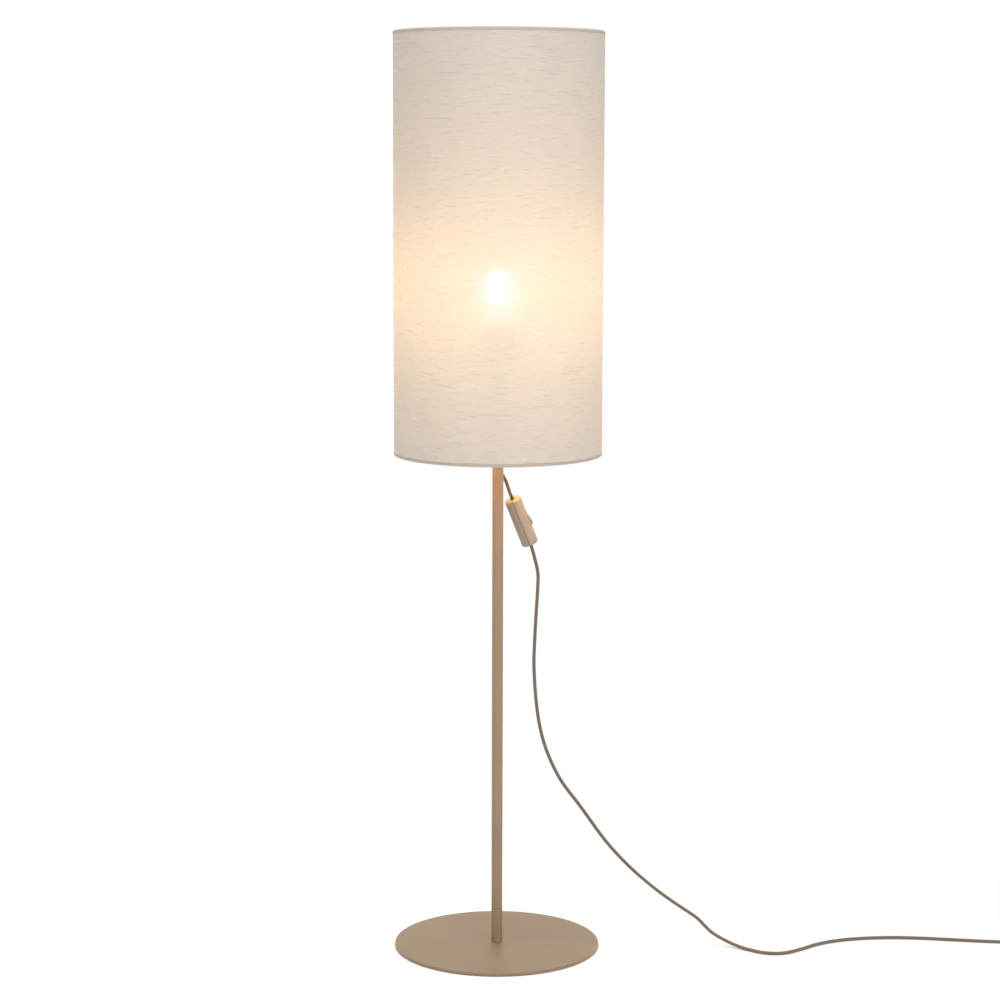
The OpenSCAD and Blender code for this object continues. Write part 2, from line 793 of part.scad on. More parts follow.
// Each rod ends level under the seat ring, and round where it meets the wire ring
module fitter_arms() {
    color("#b9b4ac")
        difference() {
            for (k = [0:arm_count - 1])
                rotate([0, 0, 90 + 360 * k / arm_count]) arm_rod(0);
            translate([0, 0, seat_z]) cylinder(r = 2 * fitter_r, h = 3 * arm_d);
            wire_ring(hem_mid_r, ring_wire_d / 2, arm_out[2]);
            translate([0, 0, shade_z - cut])
                band(shade_r, hem_mid_r, 0, hem_mid + arm_d + cut);
        }
}

// The threaded ring that clamps the seat ring to the shoulder
module clamp_ring() {
    z = seat_z + fitter_t + ring_clear;
    collar_r = fitter_bore_r + clamp_wall;
    rib = 1.2;
    rib_sink = 0.3;
    color("#2f2d2b")
        difference() {
            union() {
                translate([0, 0, z]) cylinder(r = fitter_bore_r + clamp_w, h = clamp_t);
                translate([0, 0, z]) cylinder(r = collar_r, h = clamp_h);
                for (k = [0:clamp_ribs - 1])
                    rotate([0, 0, 360 * k / clamp_ribs])
                        translate([collar_r - rib_sink, -rib / 2, z]) cube([rib, rib, clamp_h - rib / 2]);
            }
            translate([0, 0, z - cut]) cylinder(r = fitter_bore_r, h = clamp_h + 2 * cut);
        }
}

module bottom_wire_ring() {
    color("#b9b4ac")
        wire_ring(hem_mid_r, ring_wire_d / 2, shade_z + hem_mid);
}

module top_wire_ring() {
    color("#b9b4ac")
        wire_ring(hem_mid_r, ring_wire_d / 2, shade_top_z - hem_mid);
}

module shade_liner() {
    color("#f1ebe0")
        band(liner_r, liner_r - liner_t, shade_z + hem_mid, shade_h - 2 * hem_mid);
}

module shade_fabric() {
    color("#dccbb8")
        band(shade_r, liner_r, shade_z + hem_h, shade_h - 2 * hem_h);
}

// The glued overlap of the linen, at the back
module shade_seam() {
    turn = 360 * seam_w / (PI * shade_d);
    color("#d5c3af")
        translate([0, 0, shade_z + hem_h])
            rotate([0, 0, 90 - turn / 2])
                rotate_extrude(angle = turn, $fn = wide_fn)
                    translate([shade_r, 0]) square([fabric_t, shade_h - 2 * hem_h]);
}

// The linen folded round a wire ring: a round fold with two straight sides, open downwards
module hem_outline() {
    sides_h = hem_h - hem_mid;
    difference() {
        union() {
            circle(arch_r + fabric_t, $fn = fine_fn);
            translate([-arch_r - fabric_t, -sides_h]) square([2 * (arch_r + fabric_t), sides_h]);
        }
        circle(arch_r, $fn = fine_fn);
        translate([-arch_r, -sides_h - cut]) square([2 * arch_r, sides_h + cut]);
    }
}

module top_hem() {
    color("#b9aca0")
        translate([0, 0, shade_top_z - hem_mid])
            rotate_extrude($fn = wide_fn)
                translate([hem_mid_r, 0]) hem_outline();
}

// Notched where the arms reach the wire ring
module bottom_hem() {
    color("#b9aca0")
        difference() {
            translate([0, 0, shade_z + hem_mid])
                rotate_extrude($fn = wide_fn)
                    translate([hem_mid_r, 0]) mirror([0, 1]) hem_outline();
            for (k = [0:arm_count - 1])
                rotate([0, 0, 90 + 360 * k / arm_count]) arm_rod(ring_clear);
        }
}

// ---- Switch -----------------------------------------------------------------

// Places its children in the switch's own frame
module at_switch() {
    translate(switch_at)
        rotate([switch_lean, 0, 0])
            rotate([0, -switch_tilt, 0])
                children();
}

// An oval a little squarer than an ellipse
module switch_section(inset) {
    power = 0.84;
    function bend(v) = sign(v) * pow(abs(v), power);
    polygon([for (a = [0:7.5:352.5])
        [(face_x - inset) * bend(cos(a)), (switch_y / 2 - inset) * bend(sin(a))]]);
}

// The whole casing, with rounded ends
module switch_body(inset) {
    end_z = switch_l / 2 - inset;
    r = switch_end_r;
    hull()
        for (step = [0:3]) {
            a = 30 * step;
            z = end_z - r + r * sin(a);
            translate([0, 0, -z])
                linear_extrude(2 * z) switch_section(inset + r * (1 - cos(a)));
        }
}

// The hollow casing with its cord holes and the groove along the joint
module switch_shell() {
    difference() {
        switch_body(0);
        switch_body(switch_wall);
        translate([0, 0, -switch_l]) cylinder(r = cord_hole_r + lip_clear, h = 2 * switch_l);
        difference() {
            translate([-groove / 2, -switch_y, -switch_l]) cube([groove, 2 * switch_y, 2 * switch_l]);
            switch_body(groove);
        }
    }
}

module switch_half_space(side) {
    translate([side > 0 ? 0 : -switch_x, -switch_y, -switch_l])
        cube([switch_x, 2 * switch_y, 2 * switch_l]);
}

// The half with the rocker's window, and two cheeks that hold the rocker's pins
module switch_cover() {
    cheek_h = 7;
    cheek_deep = 3;               // the cheeks' reach below the rocker's pins
    boss_l = screw_in + boss_wall;
    color("#bfae94")
        at_switch()
            difference() {
                union() {
                    intersection() {
                        switch_shell();
                        switch_half_space(1);
                    }
                    intersection() {
                        for (side = [-1, 1])
                            translate([rocker_x - cheek_deep, side > 0 ? cheek_in : -cheek_in - cheek_t, -cheek_h / 2])
                                cube([rocker_axis_depth + cheek_deep, cheek_t, cheek_h]);
                        switch_body(switch_wall / 2);
                    }
                    for (z = [-shell_screw_z, shell_screw_z])
                        translate([0, shell_screw_y, z])
                            rotate([0, 90, 0]) cylinder(d = switch_screw_d + 2 * boss_wall, h = boss_l);
                }
                translate([rocker_x, cheek_in, 0])
                    rotate([90, 0, 0]) cylinder(r = rocker_r + rocker_clear, h = 2 * cheek_in);
                translate([rocker_x, cheek_in + cheek_t + cut, 0])
                    rotate([90, 0, 0])
                        cylinder(d = rocker_pin_d + 2 * pin_clear, h = 2 * (cheek_in + cheek_t + cut),
                            $fn = fine_fn);
                for (z = [-shell_screw_z, shell_screw_z])
                    translate([-cut, shell_screw_y, z])
                        rotate([0, 90, 0])
                            cylinder(d = switch_screw_d + 2 * press_clear, h = screw_in + cut, $fn = fine_fn);
            }
}

// The back half, with posts for the casing screws and seats for the lead
module switch_back() {
    color("#b0a08a")
        at_switch()
            difference() {
                union() {
                    intersection() {
                        switch_shell();
                        switch_half_space(-1);
                    }
                    intersection() {
                        union() {
                            for (z = [-shell_screw_z, shell_screw_z])
                                translate([-switch_x, shell_screw_y, z])
                                    rotate([0, 90, 0]) cylinder(d = screw_head_d + 2 * boss_wall, h = switch_x);
                            for (side = [-1, 1])
                                translate([-switch_x, -clamp_bar_l / 2, side * clamp_z - clamp_bar_w / 2])
                                    cube([switch_x - clamp_x, clamp_bar_l, clamp_bar_w]);
                        }
                        switch_body(switch_wall / 2);
                    }
                }
                switch_half_space(1);
                for (z = [-shell_screw_z, shell_screw_z])
                    translate([0, shell_screw_y, z]) {
                        rotate([0, -90, 0])
                            translate([0, 0, -cut])
                                cylinder(d = switch_screw_d + 2 * screw_clear, h = switch_x, $fn = fine_fn);
                        translate([screw_head_x, 0, 0])
                            rotate([0, -90, 0]) cylinder(d = screw_head_d + 2 * screw_clear, h = switch_x);
                    }
                for (side = [-1, 1])
                    for (y = [-clamp_screw_y, clamp_screw_y])
                        translate([-clamp_x - clamp_screw_in - seat_gap, y, side * clamp_z])
                            rotate([0, 90, 0])
                                cylinder(d = clamp_screw_d + 2 * press_clear, h = switch_x, $fn = fine_fn);
            }
}

// Face and pins of the rocker, at rest with its upper end pressed in
module switch_rocker() {
    color("#bfae94")
        at_switch()
            translate([rocker_x, 0, 0])
                rotate([0, -rocker_throw / 2, 0])
                    difference() {
                        union() {
                            intersection() {
                                translate([0, rocker_w / 2, 0])
                                    rotate([90, 0, 0]) cylinder(r = rocker_r, h = rocker_w);
                                translate([-rocker_under, -rocker_w, -rocker_l])
                                    cube([rocker_under + rocker_top, 2 * rocker_w, 2 * rocker_l]);
                            }
                            translate([0, pin_reach, 0])
                                rotate([90, 0, 0])
                                    cylinder(d = rocker_pin_d, h = 2 * pin_reach, $fn = fine_fn);
                        }
                        translate([-rocker_under - cut, 0, 0])
                            rotate([0, 90, 0])
                                cylinder(d = plunger_d + 2 * press_clear,
                                    h = rocker_under + cut + plunger_in + seat_gap, $fn = fine_fn);
                    }
}

// The spring-loaded plunger in the rocker's bore, which pushes the bridge over
module rocker_plunger() {
    tip_r = plunger_d / 2;
    color("#e9e4d8")
        at_switch()
            translate([rocker_x, 0, 0])
                rotate([0, -rocker_throw / 2, 0])
                    translate([-stem_l + tip_r, 0, 0]) {
                        sphere(r = tip_r, $fn = fine_fn);
                        rotate([0, 90, 0]) cylinder(r = tip_r, h = stem_l - tip_r + plunger_in, $fn = fine_fn);
                    }
}

// The brass bridge that tips on its post and meets the contact below
module contact_bridge() {
    weld = 0.1;
    color("#c9a64a")
        at_switch()
            translate([bridge_x, 0, 0])
                rotate([0, bridge_throw / 2, 0]) {
                    translate([fulcrum_r - weld, -bridge_w / 2, -bridge_l / 2])
                        cube([bridge_t + weld, bridge_w, bridge_l]);
                    translate([0, bridge_w / 2, 0])
                        rotate([90, 0, 0]) cylinder(r = fulcrum_r, h = bridge_w, $fn = fine_fn);
                }
}

// The bridge's post, which cradles its fulcrum, and the fixed contact at the lower end
module switch_terminals() {
    cradle_r = fulcrum_r + pin_clear;
    post_h = 4;
    drop = (contact_t / 2 - contact_z) * sin(bridge_throw / 2);
    contact_x = bridge_x + (fulcrum_r - seat_gap) * cos(bridge_throw / 2) - drop - seat_gap;
    color("#c9a64a")
        at_switch() {
            difference() {
                translate([floor_x, -bridge_w / 2, -post_h / 2])
                    cube([bridge_x - floor_x, bridge_w, post_h]);
                translate([bridge_x, bridge_w, 0])
                    rotate([90, 0, 0]) cylinder(r = cradle_r, h = 2 * bridge_w, $fn = fine_fn);
            }
            translate([floor_x, -bridge_w / 2, contact_z - contact_t / 2])
                cube([contact_x - floor_x, bridge_w, contact_t]);
        }
}

// Two bars over the lead's ends
module cord_clamps() {
    color("#8f9296")
        at_switch()
            for (side = [-1, 1])
                difference() {
                    translate([clamp_x, -clamp_bar_l / 2, side * clamp_z - clamp_bar_w / 2])
                        cube([clamp_bar_t, clamp_bar_l, clamp_bar_w]);
                    for (y = [-clamp_screw_y, clamp_screw_y])
                        translate([0, y, side * clamp_z])
                            rotate([0, 90, 0])
                                cylinder(d = clamp_screw_d + screw_clear, h = switch_x, $fn = fine_fn);
                }
}

module clamp_screws() {
    head_t = 1.4;
    head_d = 4.2;
    seat_x = clamp_x + clamp_bar_t;
    color("#a7a9ac")
        at_switch()
            for (side = [-1, 1])
                for (y = [-clamp_screw_y, clamp_screw_y])
                    translate([seat_x, y, side * clamp_z])
                        rotate([0, -90, 0]) {
                            cylinder(d = clamp_screw_d, h = seat_x + clamp_x + clamp_screw_in, $fn = fine_fn);
                            translate([0, 0, -head_t]) cylinder(d = head_d, h = head_t, $fn = fine_fn);
                        }
}

// The sheathed ends of the lead inside the switch
module switch_leads() {
    color("#6f5a49")
        at_switch()
            for (side = [-1, 1])
                translate([0, 0, side > 0 ? switch_l / 2 - stub_l : -switch_l / 2])
                    cylinder(r = cord_r, h = stub_l, $fn = fine_fn);
}

// One wire runs through beside the works; the other goes to the post and to the fixed contact
module switch_wires() {
    stub_z = switch_l / 2 - stub_l;
    start_y = wire_pitch / 2;
    aside = switch_y / 2 - switch_wall - 3.6;
    deep = -4;
    bend = 4;
    low_x = floor_x + wire_d + 2 * screw_clear;
    post_z = 2 + seat_gap;
    color("#5b7fa6")
        at_switch() {
            tube([
                [0, -start_y, stub_z], [0, -start_y, stub_z - 2], [deep / 2, bend - aside, stub_z - 7],
                [deep, -aside, stub_z - 3 * bend], [deep, -aside, 3 * bend - stub_z],
                [deep / 2, bend - aside, 7 - stub_z], [0, -start_y, 2 - stub_z], [0, -start_y, -stub_z]],
                wire_d / 2, cord_sides, [1, 0, 0]);
            tube([
                [0, start_y, stub_z], [0, start_y, stub_z - 2], [deep + 1, start_y, stub_z - 2 * bend],
                [low_x, 1, 2 * bend], [low_x, 1, post_z]],
                wire_d / 2, cord_sides, [1, 0, 0]);
            tube([
                [0, start_y, -stub_z], [0, start_y, 2 - stub_z], [deep + 1, start_y, 6 - stub_z],
                [low_x, 1, contact_z - contact_t / 2 - 2], [low_x, 1, contact_z - contact_t / 2 - seat_gap]],
                wire_d / 2, cord_sides, [1, 0, 0]);
        }
}

module switch_screws() {
    slot_w = 0.8;
    slot_deep = 0.7;
    tip_gap = 0.3;
    color("#a7a9ac")
        at_switch()
            for (z = [-shell_screw_z, shell_screw_z])
                translate([screw_head_x, shell_screw_y, z])
                    rotate([0, 90, 0]) {
                        cylinder(d = switch_screw_d, h = screw_in - screw_head_x - tip_gap, $fn = fine_fn);
                        difference() {
                            translate([0, 0, -screw_head_t]) cylinder(d = screw_head_d, h = screw_head_t);
                            translate([-screw_head_d, -slot_w / 2, -screw_head_t - cut])
                                cube([2 * screw_head_d, slot_w, cut + slot_deep]);
                        }
                    }
}

// ---- Free lead --------------------------------------------------------------

// From the outlet to the switch, in a curve that leaves both along their own directions
module cord_upper() {
    start = exit_at;
    start_out = start + exit_dir * cord_d;
    end_in = switch_top + switch_up * cord_d;
    chord = norm(end_in - start_out);
    before = end_in - 2 * lead_swing * chord * exit_dir;
    after = start_out - 2 * lead_swing * chord * switch_up;
    path = concat(
        [start],
        [for (j = [0:4]) spline_point(before, start_out, end_in, after, j / 4)],
        [switch_top]);
    color("#6f5a49")
        tube(path, cord_r, cord_sides, [0, 1, 0]);
}

// From the switch to the coil
module cord_run() {
    start = switch_foot;
    start_out = start - switch_up * cord_d;
    end = coil_start;
    end_in = end - [cord_d, 0, 0];
    middle = concat(
        [start_out], hang_points,
        [for (p = floor_points) [p[0], p[1], cord_r]],
        [end_in]);
    on_floor = [for (p = spline(middle, 2)) [p[0], p[1], max(p[2], cord_r)]];
    color("#6f5a49")
        tube(concat([start], on_floor, [end]), cord_r, cord_sides, [0, 1, 0]);
}

// The coil spirals in on the floor, climbs a layer and spirals out again
function coil_point(turn) =
    let (
        half = coil_turns / 2,
        r = turn < half ? coil_r - coil_pitch * turn : coil_r - coil_pitch * (coil_turns - turn),
        climb = min(max((turn - half + 0.25) / 0.5, 0), 1),
        a = 360 * turn - 90
    )
    [coil_at[0] + r * cos(a), coil_at[1] + r * sin(a), coil_z + coil_layer * climb];

coil_start = coil_point(0) - [cord_d, 0, 0];
coil_turn_path = [for (k = [0:coil_steps * coil_turns]) coil_point(k / coil_steps)];
coil_out = coil_turn_path[len(coil_turn_path) - 1];
coil_tail_path = [for (k = [1:5])
    let (t = k / 5, ease = t * t * (3 - 2 * t))
    [coil_out[0], coil_out[1] + coil_tail * t, coil_out[2] + (plug_axis_z - coil_out[2]) * ease]];
coil_tail_end = coil_tail_path[4];
coil_path = concat(
    [coil_start],
    coil_turn_path,
    coil_tail_path,
    [coil_tail_end + [0, cord_d, 0]]);

module cord_coil() {
    color("#6f5a49")
        tube(coil_path, cord_r, coil_sides, [0, 0, 1]);
}

echo(coil_least_gap = least_gap(coil_path, coil_steps / 2) - cord_d);

// A strap round the bundle, on the coil's far side
module coil_tie() {
    turns_in = coil_turns / 2 - 0.25;               // turns that pass under the strap
    inner = coil_r - coil_pitch * turns_in - cord_r - 2 * tie_clear;
    outer = coil_r - coil_pitch / 2 + cord_r + tie_clear;
    height = coil_layer + cord_d + 2 * tie_clear;
    tab_l = 7;
    color("#33302c")
        translate([coil_at[0], coil_at[1] + inner, tie_t])
            difference() {
                translate([-tie_w / 2, -tie_t, -tie_t])
                    cube([tie_w, outer - inner + 2 * tie_t, height + 2 * tie_t]);
                translate([-tie_w, 0, 0]) cube([2 * tie_w, outer - inner, height]);
            }
    color("#33302c")
        translate([coil_at[0] - tie_w / 2, coil_at[1] + outer + tie_t, tie_t + height - tab_l])
            cube([tie_w, tie_t, tab_l]);
}

// ---- Plug -------------------------------------------------------------------

boot_y = coil_tail_end[1] + cord_d;
plug_y = boot_y + boot_l;

// Places its children at the plug's foot, with +Z along the plug towards its pins
module at_plug(y) {
    translate([coil_out[0], y, plug_axis_z])
        rotate([-90, 0, 0])
            children();
}

// The tapered strain relief, with grooves that let it bend
module plug_boot() {
    groove_count = 5;
    groove_w = 1.4;
    groove_deep = 1;
    wall = 0.9;
    start_r = cord_r + wall;
    color("#39342f")
        at_plug(boot_y)
            difference() {
                cylinder(r1 = start_r, r2 = boot_d / 2, h = boot_l);
                for (k = [1:groove_count]) {
                    part = k / (groove_count + 1.5);
                    translate([0, 0, boot_l * part - groove_w / 2])
                        difference() {
                            cylinder(d = 2 * boot_d, h = groove_w);
                            translate([0, 0, -cut])
                                cylinder(r = start_r + (boot_d / 2 - start_r) * part - groove_deep,
                                    h = groove_w + 2 * cut);
                        }
                }
            }
}

// A slab with rounded sides, across the plug's axis
module plug_slab(w, t, z, h) {
    translate([0, 0, z]) {
        translate([-(w - t) / 2, -t / 2, 0]) cube([w - t, t, h]);
        for (side = [-1, 1])
            translate([side * (w - t) / 2, 0, 0]) cylinder(d = t, h = h, $fn = fine_fn);
    }
}

// A flat body that narrows towards the lead
module plug_body() {
    shoulder = 0.45 * plug_l;
    slice = 0.2;
    collar = 1;
    color("#39342f")
        at_plug(plug_y) {
            difference() {
                plug_slab(plug_w, plug_t, shoulder, plug_l - shoulder);
                for (side = [-1, 1])
                    translate([side * plug_pin_spacing / 2, 0, plug_l - pin_root])
                        cylinder(d = pin_root_d, h = pin_root + cut, $fn = fine_fn);
            }
            hull() {
                plug_slab(boot_d + 2 * collar, boot_d, 0, slice);
                plug_slab(plug_w, plug_t, shoulder - slice, slice);
            }
        }
}

// Each pin stands on the plug's face, with a thinner root in the body and a tapered tip
module plug_pins() {
    tip_h = 1;
    tip_d = 0.65 * plug_pin_d;
    color("#c4c7c9")
        at_plug(plug_y + plug_l)
            for (side = [-1, 1])
                translate([side * plug_pin_spacing / 2, 0, 0]) {
                    translate([0, 0, -pin_root]) cylinder(d = pin_root_d, h = pin_root, $fn = fine_fn);
                    cylinder(d = plug_pin_d, h = plug_pin_l - tip_h, $fn = fine_fn);
                    translate([0, 0, plug_pin_l - tip_h])
                        cylinder(d1 = plug_pin_d, d2 = tip_d, h = tip_h, $fn = fine_fn);
                }
}

// ---- Output -----------------------------------------------------------------

base_pad();
base_plate();
base_screw();
foot_insert();
pole();
exit_bush();
inner_lead();
top_insert();
nipple();
holder_cap();
holder_sleeve();
holder_core();
screw_shell();
centre_contact();
holder_terminals();
holder_screws();
holder_wires();
fitter_ring();
fitter_arms();
clamp_ring();
bulb_tip();
bulb_insulator();
bulb_cap();
bulb_glass();
bulb_stem();
bulb_filaments();
bottom_wire_ring();
top_wire_ring();
shade_liner();
shade_fabric();
shade_seam();
bottom_hem();
top_hem();
cord_upper();
switch_cover();
switch_back();
switch_rocker();
rocker_plunger();
contact_bridge();
switch_terminals();
cord_clamps();
clamp_screws();
switch_leads();
switch_wires();
switch_screws();
cord_run();
cord_coil();
coil_tie();
plug_boot();
plug_body();
plug_pins();
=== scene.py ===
import math

import bpy
from mathutils import Matrix, Vector


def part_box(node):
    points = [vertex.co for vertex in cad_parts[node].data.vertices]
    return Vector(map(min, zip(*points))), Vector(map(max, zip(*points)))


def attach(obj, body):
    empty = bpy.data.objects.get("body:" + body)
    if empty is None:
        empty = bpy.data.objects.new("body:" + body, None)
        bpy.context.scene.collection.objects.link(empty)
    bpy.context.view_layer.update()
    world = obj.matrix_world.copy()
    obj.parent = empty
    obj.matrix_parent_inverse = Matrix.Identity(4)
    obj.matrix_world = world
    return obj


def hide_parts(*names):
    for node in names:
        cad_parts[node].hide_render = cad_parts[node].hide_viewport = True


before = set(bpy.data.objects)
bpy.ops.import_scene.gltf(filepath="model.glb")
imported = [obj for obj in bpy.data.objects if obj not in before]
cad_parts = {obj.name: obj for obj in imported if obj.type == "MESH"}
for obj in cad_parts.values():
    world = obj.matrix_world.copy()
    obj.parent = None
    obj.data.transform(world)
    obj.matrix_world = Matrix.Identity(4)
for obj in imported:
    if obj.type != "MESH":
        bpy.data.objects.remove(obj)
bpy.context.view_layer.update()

MM = 0.001
WHITE = (1, 1, 1)

# ---- Sizes that the pieces here share with the solids ------------------------

POLE_R = 8 * MM
EXIT_Z = 703.5 * MM
EXIT_AZIMUTH = math.radians(55)
EXIT_SLOPE = math.radians(45)
CORD_D = 5 * MM
LEAD_SWING = 1.4
SWITCH_OFFSET = Vector((29.7, 27, -74.9)) * MM
SWITCH_L = 73 * MM
SWITCH_TILT = math.radians(21)
SWITCH_LEAN = math.radians(11)
GROOVE = 0.8 * MM
COIL_AT = Vector((806, 40, 0)) * MM
COIL_R = 33 * MM
COIL_PITCH = 5.6 * MM
COIL_TURNS = 4.25
COIL_Z = 4 * MM
COIL_TAIL = 26 * MM
PLUG_AXIS_Z = 7 * MM
SHADE_R = 150 * MM
LINEN_T = 0.6 * MM
BULB_Z = 971.9 * MM

# Points of the hanging stretch, from the switch down to the floor, in millimetres
HANG_POINTS = [
    (54, 44, 573), (59, 48, 550), (59, 50, 527), (57, 53, 490), (55, 53, 450), (54, 52, 410),
    (57, 48, 362), (63, 44, 320), (74, 40, 282), (94, 36, 241), (124, 32, 201), (160, 27, 152),
    (193, 23, 116), (227, 20, 86), (258, 17, 63), (286, 13, 45), (299, 10, 36), (308, 6, 27.5),
    (318, 1, 19), (331, -6, 12.5), (349, -14, 5.5)]

# Places on the floor, up to the coil, in millimetres
FLOOR_POINTS = [
    (368, -28), (392, -45), (420, -46), (448, -27), (474, -4), (506, 14), (545, 25), (590, 29),
    (635, 26), (680, 19), (725, 12), (765, 8)]

# Where the lead leaves the tube, and the switch: up along the lead, and out on the rocker's side
EXIT_DIR = Vector((
    math.cos(EXIT_SLOPE) * math.cos(EXIT_AZIMUTH),
    math.cos(EXIT_SLOPE) * math.sin(EXIT_AZIMUTH),
    -math.sin(EXIT_SLOPE)))
EXIT_AT = Vector((POLE_R * math.cos(EXIT_AZIMUTH), POLE_R * math.sin(EXIT_AZIMUTH), EXIT_Z))
SWITCH_UP = Vector((
    -math.sin(SWITCH_TILT),
    -math.cos(SWITCH_TILT) * math.sin(SWITCH_LEAN),
    math.cos(SWITCH_TILT) * math.cos(SWITCH_LEAN)))
SWITCH_OUT = Vector((
    math.cos(SWITCH_TILT),
    -math.sin(SWITCH_TILT) * math.sin(SWITCH_LEAN),
    math.sin(SWITCH_TILT) * math.cos(SWITCH_LEAN)))
SWITCH_AT = EXIT_AT + SWITCH_OFFSET
SWITCH_TOP = SWITCH_AT + SWITCH_UP * SWITCH_L / 2
SWITCH_FOOT = SWITCH_AT - SWITCH_UP * SWITCH_L / 2

# ---- Camera, light and stage --------------------------------------------------

# Fitted to the rims of the base and the shade, and to the tube's edges
CAMERA_AT = Vector((0.0031, -3.687, 1.1807))
CAMERA_TILT = math.radians(7.97)
CAMERA_ROLL = math.radians(0.15)
CAMERA_LENS = 92.7
SENSOR_WIDTH = 36
FAR_CLIP = 50

BULB_POWER = 6.8
BULB_COLOUR = (1.0, 0.655, 0.135)
BULB_LIGHT_R = 30 * MM
WORLD_FILL = 0.54
WORLD_COLOUR = (0.98, 0.985, 1.0)

# The floor's half width, how far it lies under the lamp, and where it passes into plain white
FLOOR_HALF = 12
FLOOR_GAP = 0.2 * MM
FLOOR_FADE = (0.2, 0.9)


def add_camera():
    data = bpy.data.cameras.new("photo_camera")
    data.lens = CAMERA_LENS
    data.sensor_width = SENSOR_WIDTH
    data.clip_end = FAR_CLIP
    camera = bpy.data.objects.new("photo_camera", data)
    bpy.context.collection.objects.link(camera)
    camera.matrix_world = (
        Matrix.Translation(CAMERA_AT)
        @ Matrix.Rotation(math.pi / 2 - CAMERA_TILT, 4, "X")
        @ Matrix.Rotation(CAMERA_ROLL, 4, "Z"))
    bpy.context.scene.camera = camera


def add_area_light(name, place, target, size, power, colour):
    data = bpy.data.lights.new(name, "AREA")
    data.shape = "DISK"
    data.size = size
    data.energy = power
    data.color = colour
    light = bpy.data.objects.new(name, data)
    bpy.context.collection.objects.link(light)
    direction = Vector(target) - Vector(place)
    light.matrix_world = Matrix.Translation(place) @ direction.to_track_quat("-Z", "Y").to_matrix().to_4x4()


def add_bulb_light():
    """The light of the bulb, amid its filaments; through the linen only the bulb itself is seen."""
    data = bpy.data.lights.new("bulb_light", "POINT")
    data.energy = BULB_POWER
    data.color = BULB_COLOUR
    data.shadow_soft_size = BULB_LIGHT_R
    light = bpy.data.objects.new("bulb_light", data)
    bpy.context.collection.objects.link(light)
    light.location = (0, 0, BULB_Z)
    light.visible_transmission = False


def set_world():
    """A soft fill from all sides, behind a backdrop that shows as plain white."""
    world = bpy.data.worlds.new("studio")
    world.use_nodes = True
    bpy.context.scene.world = world
    tree = world.node_tree
    tree.nodes.clear()
    output = tree.nodes.new("ShaderNodeOutputWorld")
    fill = feed(tree, tree.nodes.new("ShaderNodeBackground"), (*WORLD_COLOUR, 1), WORLD_FILL)
    shown = feed(tree, tree.nodes.new("ShaderNodeBackground"), (*WHITE, 1), 1)
    both = mix_shaders(tree, backdrop_rays(tree), fill.outputs[0], shown.outputs[0])
    tree.links.new(both, output.inputs["Surface"])


def add_floor():
    mesh = bpy.data.meshes.new("floor")
    corners = [(x * FLOOR_HALF, y * FLOOR_HALF, 0) for x, y in ((-1, -1), (1, -1), (1, 1), (-1, 1))]
    mesh.from_pydata(corners, [], [(0, 1, 2, 3)])
    floor = bpy.data.objects.new("floor", mesh)
    bpy.context.collection.objects.link(floor)
    floor.location.z = -FLOOR_GAP
    mesh.materials.append(floor_paint())


# ---- Material helpers ---------------------------------------------------------

def new_material(name, roughness, metallic=0):
    material = bpy.data.materials.new(name)
    material.use_nodes = True
    tree = material.node_tree
    shader = tree.nodes["Principled BSDF"]
    shader.inputs["Roughness"].default_value = roughness
    shader.inputs["Metallic"].default_value = metallic
    return material, tree, shader


def show(tree, shader_output):
    """Puts this in place of the material's plain shader."""
    tree.links.new(shader_output, tree.nodes["Material Output"].inputs["Surface"])


def feed(tree, node, *values):
    """Sets the node's inputs in turn, each to a constant or to another node's output."""
    for socket, value in zip(node.inputs, values):
        if isinstance(value, bpy.types.NodeSocket):
            tree.links.new(value, socket)
        else:
            socket.default_value = value
    return node


def arithmetic(tree, operation, *values):
    node = tree.nodes.new("ShaderNodeMath")
    node.operation = operation
    return feed(tree, node, *values).outputs[0]


def vector_math(tree, operation, *values):
    node = tree.nodes.new("ShaderNodeVectorMath")
    node.operation = operation
    result = "Value" if operation in ("DOT_PRODUCT", "LENGTH") else "Vector"
    return feed(tree, node, *values).outputs[result]


def mix_shaders(tree, share, first, second):
    """The first shader's output with the given share of the second."""
    return feed(tree, tree.nodes.new("ShaderNodeMixShader"), share, first, second).outputs[0]


def backdrop_rays(tree):
    """1 for the rays that show the plain white backdrop: the camera's, and those of gloss and glass."""
    path = tree.nodes.new("ShaderNodeLightPath")
    seen = arithmetic(tree, "MAXIMUM", path.outputs["Is Camera Ray"], path.outputs["Is Glossy Ray"])
    return arithmetic(tree, "MAXIMUM", seen, path.outputs["Is Transmission Ray"])


def object_place(tree):
    return tree.nodes.new("ShaderNodeTexCoord").outputs["Object"]


def noise(tree, place, scale, detail=2, roughness=0.5):
    texture = tree.nodes.new("ShaderNodeTexNoise")
    texture.inputs["Scale"].default_value = scale
    texture.inputs["Detail"].default_value = detail
    texture.inputs["Roughness"].default_value = roughness
    tree.links.new(place, texture.inputs["Vector"])
    return texture.outputs["Fac"]


def streaky_noise(tree, place, scales, detail):
    """Noise with its own scale along each axis."""
    mapping = tree.nodes.new("ShaderNodeMapping")
    mapping.inputs["Scale"].default_value = scales
    tree.links.new(place, mapping.inputs["Vector"])
    return noise(tree, mapping.outputs["Vector"], 1, detail)


def rise(tree, value, start, end, interpolation="SMOOTHSTEP"):
    """0 up to the start, 1 from the end on."""
    node = tree.nodes.new("ShaderNodeMapRange")
    node.interpolation_type = interpolation
    node.inputs["From Min"].default_value = start
    node.inputs["From Max"].default_value = end
    tree.links.new(value, node.inputs["Value"])
    return node.outputs["Result"]


